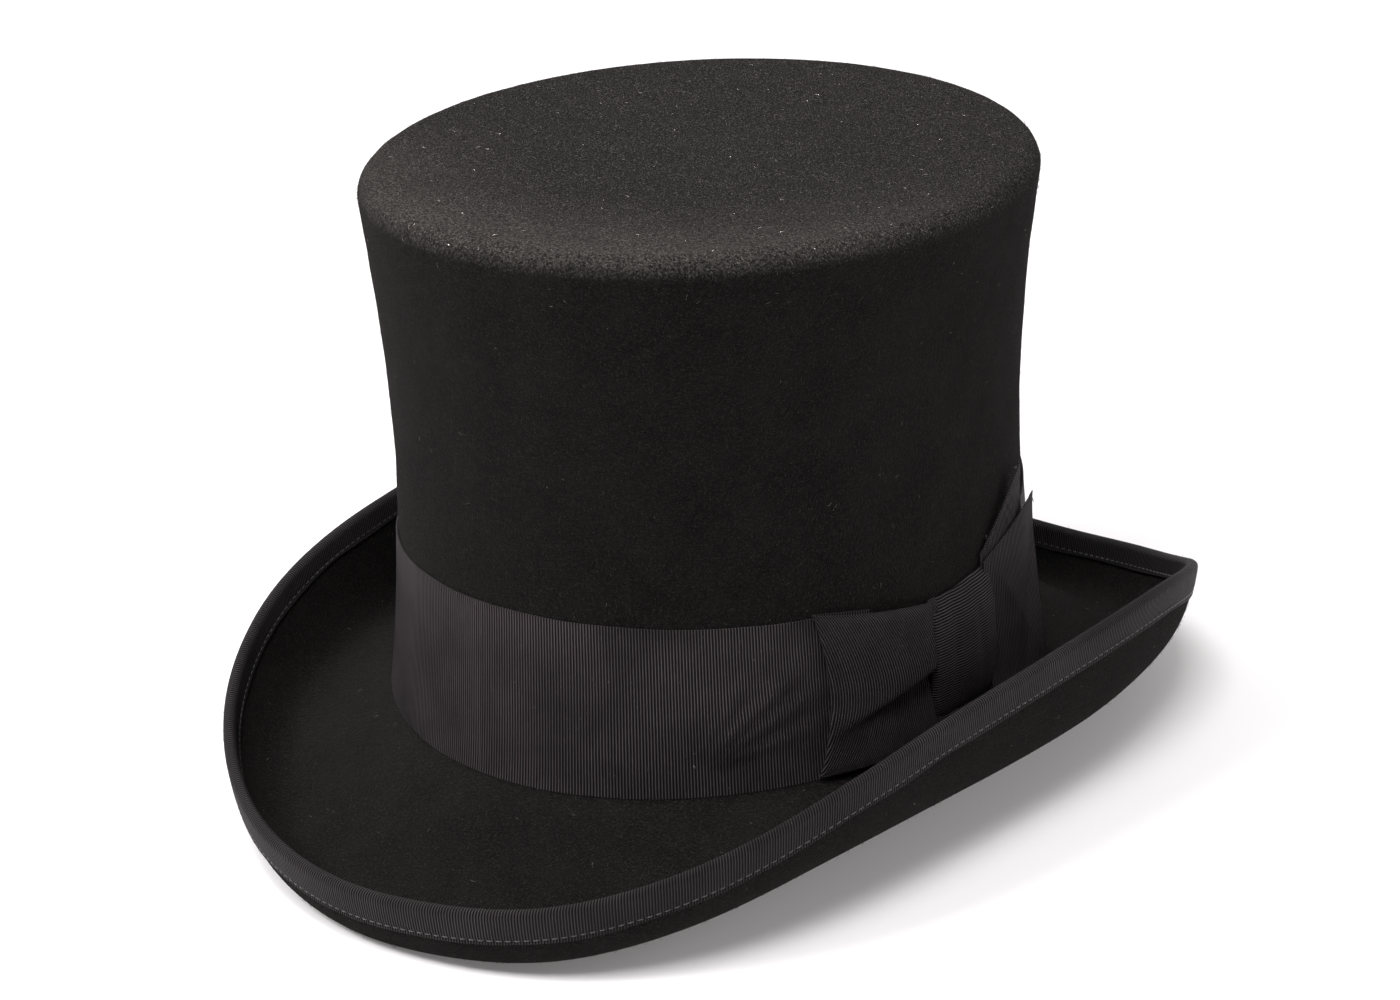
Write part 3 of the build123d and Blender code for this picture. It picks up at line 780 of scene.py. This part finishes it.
def bow_front_loop():
    """A flat loop: out behind, round a pinched edge and back over the front, creased at the knot."""
    rows, cols = 110, 110
    v = edge_share(rows)[:, None]
    q = np.linspace(0, 1, cols)[None, :]
    middle = (v - 0.5) * 2
    edge = LOOP_EDGE + 0.3 + 2.3 * (1 - middle**2) + 0.5 * v + 0.2 * np.sin(5 * v)
    back_part = 0.36
    fold = np.clip(q / back_part, 0, 1)
    over = np.clip((q - back_part - 0.05) / (1 - back_part - 0.05), 0, 1)
    turn = np.clip((q - back_part) / 0.05, 0, 1)
    inner_end = KNOT_LEFT + 1.6
    start = LOOP_EDGE + 11
    t_back = start + (edge - start) * np.sin(fold * math.pi / 2)
    t_over = edge + (inner_end - edge) * over
    t_turn = edge - 0.25 * np.sin(math.pi * turn)
    t_deg = np.where(q < back_part, t_back, np.where(q < back_part + 0.05, t_turn, t_over))
    near = np.clip((t_deg - LOOP_EDGE) / (KNOT_LEFT - LOOP_EDGE), 0, 1)
    belly = 2.1 + 1.0 * np.sin(math.pi * np.clip(over * 1.02, 0, 1)) ** 0.8
    slack = waves(51, 7, 0.02, 0.05)
    z_low = 4.4 + 1.4 * near**2
    z_high = 53.9 - 7.2 * near
    z = z_low + (z_high - z_low) * v
    crease_from = np.clip((near - 0.03) / 0.6, 0, 1)
    drop = z - (12.5 + 14.5 * near**0.8)
    above = 1 / (1 + np.exp(-drop / (0.3 + 0.8 * (1 - near))))
    upper = 2.1 * crease_from * above * np.exp(-((drop / 22) ** 2))
    lower = -1.7 * crease_from * (1 - above) * np.exp(-((drop / 11) ** 2))
    pleat = upper + lower - 1.6 * np.clip((near - 0.93) / 0.07, 0, 1) ** 2
    lift_back = BOW_FOOT + 0.05 + 0.8 * fold**3
    lift_over = np.maximum(BOW_FOOT + belly + pleat + 0.18 * slack(t_deg * 1.7, z), BOW_FOOT)
    lift_turn = lift_back + (lift_over - lift_back) * (1 - np.cos(math.pi * turn)) / 2
    lift = np.where(q < back_part, lift_back, np.where(q < back_part + 0.05, lift_turn, lift_over))
    rounding = 0.55 * np.exp(-((1 - v) * 48 / 1.6) ** 2) + 0.4 * np.exp(-(v * 48 / 1.4) ** 2)
    lift = lift - np.where(q > back_part, rounding, 0)
    centre = place(np.radians(t_deg), wall(z) + lift, z)
    along_way = np.gradient(centre, axis=1)
    up_way = np.gradient(centre, axis=0)
    normal = np.cross(along_way, up_way)
    normal /= np.maximum(np.linalg.norm(normal, axis=-1, keepdims=True), 1e-9)
    p = sheet_loop(centre - normal * BOW_RIBBON / 2, centre + normal * BOW_RIBBON / 2)
    hops = np.linalg.norm(np.diff(centre, axis=1), axis=-1)
    run = np.concatenate([np.zeros((rows, 1)), np.cumsum(hops, 1)], 1)
    across = np.broadcast_to(v * BAND_WIDTH, run.shape)
    piece = loft("bow_loop", p, BOW, wrap_cols=False, along=sheet_loop(run, run),
                 across=sheet_loop(across, across), caps=True)
    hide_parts("bow_front_loop")


def bow_knot():
    """Ribbon wrapped upright round the middle: over the band's top edge and down the front."""
    rows, cols = 110, 50
    v = np.linspace(0, 1, rows)[:, None]
    w = edge_share(cols)[None, :]
    left = KNOT_LEFT + 0.1 - 0.9 * np.sin(math.pi * v)
    right = KNOT_RIGHT + 0.3 * np.sin(math.pi * v)
    t_deg = left + (right - left) * w
    z_top = 45.6 + 1.7 * w - 0.4 * np.sin(math.pi * w)
    z_low = 6.2
    height = z_top - z_low
    body = np.clip(1 - np.abs(v - 0.5) * 2, 0, 1)
    tuck = np.clip((0.58 - v - 0.06 * w) / 0.42, 0, 1)
    tuck = 1.6 * tuck * tuck * (3 - 2 * tuck)
    puff = 0.9 * np.sin(math.pi * w) ** 0.7 * np.sin(math.pi * v) ** 0.4
    lift = BOW_FOOT + 3.5 * (1 - (1 - body) ** 5) + puff
    crease = 0.45 * np.exp(-((w - 0.24 - 0.1 * v) / 0.05) ** 2)
    crease = crease + 0.35 * np.exp(-((w - 0.72 + 0.08 * v) / 0.06) ** 2)
    lift = lift - crease * np.sin(math.pi * v) - tuck
    slack = waves(57, 6, 0.02, 0.05)
    z = z_low + height * v
    lift = lift + 0.15 * slack(t_deg * 1.7, z)
    side_roll = 0.7 * (np.exp(-(w / 0.02) ** 2) + np.exp(-((1 - w) / 0.02) ** 2))
    lift = np.maximum(lift - side_roll, BOW_FOOT + 0.35)
    t = np.radians(t_deg)
    front = place(t, wall(z) + lift, z)
    back = place(t, wall(z) + BOW_FOOT, z)
    p = sheet_loop(front, back)
    hops = np.linalg.norm(np.diff(front, axis=0), axis=-1)
    run = np.concatenate([np.zeros((1, cols)), np.cumsum(hops, 0)])
    across = np.broadcast_to(w * 27.0, run.shape)
    piece = loft("bow_centre", p, BOW, wrap_cols=False, along=sheet_loop(run, run),
                 across=sheet_loop(across, across), caps=True)
    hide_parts("bow_knot")


def bow_tails():
    """Two cut ends behind the knot, with slanting, slightly frayed edges and soft folds."""
    plans = (
        ("bow_tail_back", 22.4, (50.5, 71.5), 5.2, (0.1, 3.2), 61, "bow_tail_inner", (0.055, 0.026)),
        ("bow_tail_front", 26.2, (48.6, 58.6), 3.4, (1.1, 4.9), 62, "bow_tail_outer", (0.05, 0.032)),
    )
    for name, end, tops, low, stand, seed, node, flat in plans:
        rows, cols = 46, 60
        v = edge_share(rows)[:, None]
        w = np.linspace(0, 1, cols)[None, :]
        fray = waves(seed, 12, 0.8, 3.5, 1)
        t_deg = KNOT_RIGHT - 1.2 + (end - KNOT_RIGHT + 1.2) * w + 0.5 * np.sin(math.pi * v) * w
        top = tops[0] + (tops[1] - tops[0]) * w**1.05 + 0.12 * fray(w * 9)
        bottom = 7.5 + (low - 7.5) * np.clip(w * 1.6, 0, 1) ** 0.7
        z = bottom + (top - bottom) * v
        ridge = w - 0.12 - 0.95 * (1 - v) + 0.1
        hollow = w - 0.55 - 0.5 * v
        folds = 0.8 * np.exp(-np.abs(ridge) / 0.16) - 0.9 * np.exp(-((hollow / 0.16) ** 2))
        lift = BOW_FOOT + stand[0] + (stand[1] - stand[0]) * w**1.2
        lift = lift + folds * np.clip(w * 3, 0, 1) * np.sin(math.pi * v) ** 0.5
        lift = np.maximum(lift, BOW_FOOT + stand[0] * 0.9)
        across = np.broadcast_to(v * 50, z.shape)
        ribbon_patch(name, np.radians(t_deg), z, lift, BOW_RIBBON, across, node)


def tacks():
    """Small knots of thread: on the band in front of the bow, and at the tails' points."""
    rng = np.random.default_rng(71)
    points, faces = [], []
    for angle, z, lift in ((*BAND_TACK, 0.75), (25.9, 56.0, 6.0), (21.3, 69.5, 3.6)):
        t = math.radians(angle)
        centre = place(t, wall(z) + lift, z)
        for _ in range(7):
            way = rng.normal(size=3)
            way /= np.linalg.norm(way)
            size = rng.uniform(0.5, 1.1)
            base = len(points)
            for j in range(4):
                share = j / 3
                spot = centre + way * size * (share - 0.3) + rng.normal(0, 0.1, 3)
                for m in range(5):
                    a = TURN * m / 5
                    points.append(spot + 0.14 * np.array([math.cos(a), 0.3 * math.sin(a), math.sin(a)]))
            faces.append([base + m for m in range(5)][::-1])
            for j in range(3):
                for m in range(5):
                    a, b = base + 5 * j + m, base + 5 * j + (m + 1) % 5
                    faces.append([a, b, b + 5, a + 5])
            faces.append([base + 15 + m for m in range(5)])
    piece = make_mesh("tack_threads", to_frame(np.array(points)), faces, THREAD)
    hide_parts("bow_tacks")


# ---- inside -----------------------------------------------------------------------------
def sweatband():
    cols, rows = 600, 26
    t = around(cols, math.pi / 2)
    v = edge_share(rows)[:, None]
    soft = waves(81, 8, 0.5, 1.5, 1)
    top = SWEATBAND_TOP - 0.3 + 0.25 * soft(t * 2)
    z = 1.7 + (top - 1.7) * v
    tt = np.broadcast_to(t, z.shape)
    buckle = waves(83, 9, 0.012, 0.035)
    inward = 0.25 * (buckle(np.degrees(tt) * 1.6, z) + 1.0) * np.sin(math.pi * v)
    face = -SWEATBAND_OUT - SWEATBAND_THICK - inward
    p = sheet_loop(place(tt, wall(z) - SWEATBAND_OUT, z), place(tt, wall(z) + face, z))
    piece = loft("leather_sweatband", p, LEATHER)
    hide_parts("sweatband")


def sweatband_stitches():
    t = around(600)
    out = wall(SWEATBAND_STITCH_UP) - SWEATBAND_OUT - SWEATBAND_THICK
    path = place(t, out, SWEATBAND_STITCH_UP)
    normal = place(t, out - 1, SWEATBAND_STITCH_UP) - path
    normal /= np.linalg.norm(normal, axis=1, keepdims=True)
    stitches("sweatband_stitches", path, normal, SWEATBAND_STITCH, BROWN_THREAD,
             "sweatband_stitching")


def lining_side():
    """Satin that hangs in soft upright folds between the piping and the sweatband."""
    cols, rows = 900, 70
    t = around(cols, math.pi / 2)
    v = np.linspace(0, 1, rows)[:, None]
    z = LINING_BOTTOM + (LINING_TOP - LINING_BOTTOM) * v
    tt = np.broadcast_to(t, (rows, cols))
    fold = waves(91, 12, 3.0, 9.0, 1)
    drape = waves(93, 10, 0.006, 0.02)
    arc = np.degrees(tt) * DEGREE_ARC
    fullness = np.clip((v * 147 - 22) / 30, 0, 1) * (0.35 + 0.65 * v)
    inward = fullness * (0.8 * (fold(tt + 0.1 * np.sin(3 * tt)) + 1.3) + 0.45 * (drape(arc, z) + 1.0))
    pinch = 0.35 * np.clip((v - 0.93) / 0.07, 0, 1) * (1 + np.sin(tt * 140))
    inward = np.maximum(inward * (1 - np.clip((v - 0.94) / 0.06, 0, 1)) + pinch, 0)
    z = np.broadcast_to(z, tt.shape)
    front = on_wall(tt, -LINING_OUT - inward, z)
    back = on_wall(tt, -LINING_OUT - LINING_THICK - inward, z)
    p = sheet_loop(front, back)
    length = ring_length(front)
    along = np.broadcast_to(length, (2 * rows, cols + 1))
    across = seam_column(sheet_loop(z, z))
    piece = loft("satin_wall", p, SATIN, along=along, across=across)
    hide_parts("lining_side")


def tip_sheet(name, z, radius_x, radius_y, thick, material, node, sag, seed):
    """An oval sheet across the top of the crown, with a little slack."""
    t = around(240)
    shares = np.linspace(0.01, 1, 40)
    slack = waves(seed, 9, 0.008, 0.022)
    layers = []
    for rise in (thick, 0.0):
        rings = []
        for share in shares:
            x, y = radius_x * share * np.cos(t), radius_y * share * np.sin(t)
            drop = sag * (1 - share**2) + 0.5 * sag * slack(x, y) * (1 - share**4)
            rings.append(np.stack([x, y, z - TIP_DROP * y / HALF_LENGTH - drop + rise], -1))
        layers.append(np.array(rings))
    p = np.concatenate([layers[0], layers[1][::-1]])
    rows, cols = p.shape[:2]
    quads, rr, cc = grid_faces(rows, cols, False, True)
    faces = [q[::-1] for q in quads.tolist()]
    faces.append(list(range(cols)))
    faces.append([(rows - 1) * cols + k for k in range(cols)][::-1])
    loops = np.concatenate([np.array(f) for f in faces])
    uvs = p.reshape(-1, 3)[loops][:, :2]
    piece = make_mesh(name, to_frame(p), faces, material, uvs=uvs)
    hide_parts(node)


def lining_tip():
    top = wall(LINING_TOP)
    tip_sheet("satin_tip", 157.0, HALF_WIDTH + top - 3.4, HALF_LENGTH + top - 3.4, 0.3, SATIN,
              "lining_tip", 1.2, 97)
    tip_sheet("vinyl_shield", 154.6, 62.0, 75.0, 0.2, FILM, "sweat_shield", 0.9,
              98)


def piping():
    """A twisted, satin-covered cord in the seam between the lining's side and tip."""
    cols, ribs = 1400, 10
    t = around(cols)
    centre_out = wall(LINING_TOP) - LINING_OUT - 0.95
    z = LINING_TOP + 1.2 - TIP_DROP * np.sin(t)
    rows = []
    for k in range(ribs):
        a = TURN * k / ribs
        radius = 0.85 + 0.12 * np.sin(a * 2 + t * 150)
        rows.append(place(t, centre_out + radius * math.cos(a), z + radius * math.sin(a)))
    p = np.array(rows)
    length = np.broadcast_to(ring_length(p), (ribs, cols + 1))
    across = np.broadcast_to(np.linspace(0, 5, ribs)[:, None], length.shape)
    piece = loft("satin_piping", p, SATIN, along=length, across=across)
    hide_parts("lining_piping")


def paint_cad_nodes():
    """CAD nodes whose shape is right keep it and get a finished material."""
    finishes = {
        "sweatband_reed": REED,
        "reed_tape": TAPE,
        "rear_bow_loops": TAPE,
        "rear_bow_knot": TAPE,
        "size_tab": TAB,
    }
    for node, material in finishes.items():
        mesh_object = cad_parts[node]
        mesh_object.data.materials.clear()
        mesh_object.data.materials.append(material)


# ---- floor, light and camera ------------------------------------------------------------
def backdrop():
    """A white wall beyond the hat that fades to a dim room on the viewer's side."""
    world = bpy.data.worlds.new("studio")
    world.use_nodes = True
    tree = world.node_tree
    shade = tree.nodes["Background"]
    spot = tree.nodes.new("ShaderNodeTexCoord")
    facing = tree.nodes.new("ShaderNodeVectorMath")
    facing.operation = "DOT_PRODUCT"
    facing.inputs[1].default_value = (-0.65, 0.75, 0.1)
    fade = tree.nodes.new("ShaderNodeMapRange")
    fade.interpolation_type = "SMOOTHSTEP"
    fade.inputs["From Min"].default_value = -0.5
    fade.inputs["From Max"].default_value = 0.45
    fade.inputs["To Min"].default_value = 0.22
    fade.inputs["To Max"].default_value = 0.62
    tree.links.new(spot.outputs["Generated"], facing.inputs[0])
    tree.links.new(facing.outputs["Value"], fade.inputs["Value"])
    tree.links.new(fade.outputs["Result"], shade.inputs["Strength"])
    shade.inputs["Color"].default_value = (1.0, 0.99, 0.99, 1.0)
    return world


def studio():
    floor = bpy.data.meshes.new("floor")
    reach = 6.0
    corners = [(-reach, -reach, 0), (reach, -reach, 0), (reach, reach, 0), (-reach, reach, 0)]
    floor.from_pydata(corners, [], [(0, 1, 2, 3)])
    piece = bpy.data.objects.new("floor", floor)
    bpy.context.scene.collection.objects.link(piece)
    # The paper glows a little: painted light that lifts the shadows on the floor.
    n = Nodes("glowing_paper")
    floor.materials.append(n.finish(
        Base_Color=(0.74, 0.725, 0.73, 1.0), Roughness=0.9, Specular_IOR_Level=0.05,
        Emission_Color=(1.0, 0.93, 0.95, 1.0), Emission_Strength=0.13))
    bpy.context.scene.world = backdrop()
    lamps = (
        ("key", (-0.75, -1.5, 1.9), 0.8, 54.0),
        ("front", (0.55, -0.85, 1.9), 0.8, 40.0),
        ("right", (1.5, 0.75, 0.75), 0.8, 8.0),
        ("left", (-1.4, 0.35, 0.8), 0.7, 6.0),
    )
    for name, spot, size, power in lamps:
        light = bpy.data.lights.new(name, "AREA")
        light.shape = "SQUARE"
        light.size = size
        light.energy = power
        lamp = bpy.data.objects.new(name, light)
        lamp.location = spot
        lamp.rotation_euler = (Vector((0, 0, 0.08)) - Vector(spot)).to_track_quat("-Z", "Y").to_euler()
        bpy.context.scene.collection.objects.link(lamp)


def camera():
    azimuth, elevation, roll = math.radians(40.66), math.radians(24.11), math.radians(-1.83)
    level = math.cos(elevation)
    away = Vector((math.sin(azimuth) * level, -math.cos(azimuth) * level, math.sin(elevation)))
    target = Vector(CENTRE + np.array([-2.8, -3.0, 50.5]) * MM)
    data = bpy.data.cameras.new("camera")
    data.sensor_width = 36.0
    data.lens = 95.66
    data.clip_end = 50.0
    piece = bpy.data.objects.new("camera", data)
    right = Vector((math.cos(azimuth), math.sin(azimuth), 0))
    up = right.cross(-away)
    turned_right = math.cos(roll) * right + math.sin(roll) * up
    turned_up = -math.sin(roll) * right + math.cos(roll) * up
    basis = Matrix((turned_right, turned_up, away)).transposed().to_4x4()
    basis.translation = target + away * 1.1355
    piece.matrix_world = basis
    bpy.context.scene.collection.objects.link(piece)
    bpy.context.scene.camera = piece
    bpy.context.scene.view_settings.view_transform = "Standard"


# ---- assembly ---------------------------------------------------------------------------
camera()
studio()
felt_fuzz(felt_body())
hat_band()
brim_binding()
binding_stitches()
bow_front_loop()
bow_knot()
bow_tails()
tacks()
sweatband()
sweatband_stitches()
lining_side()
lining_tip()
piping()
paint_cad_nodes()
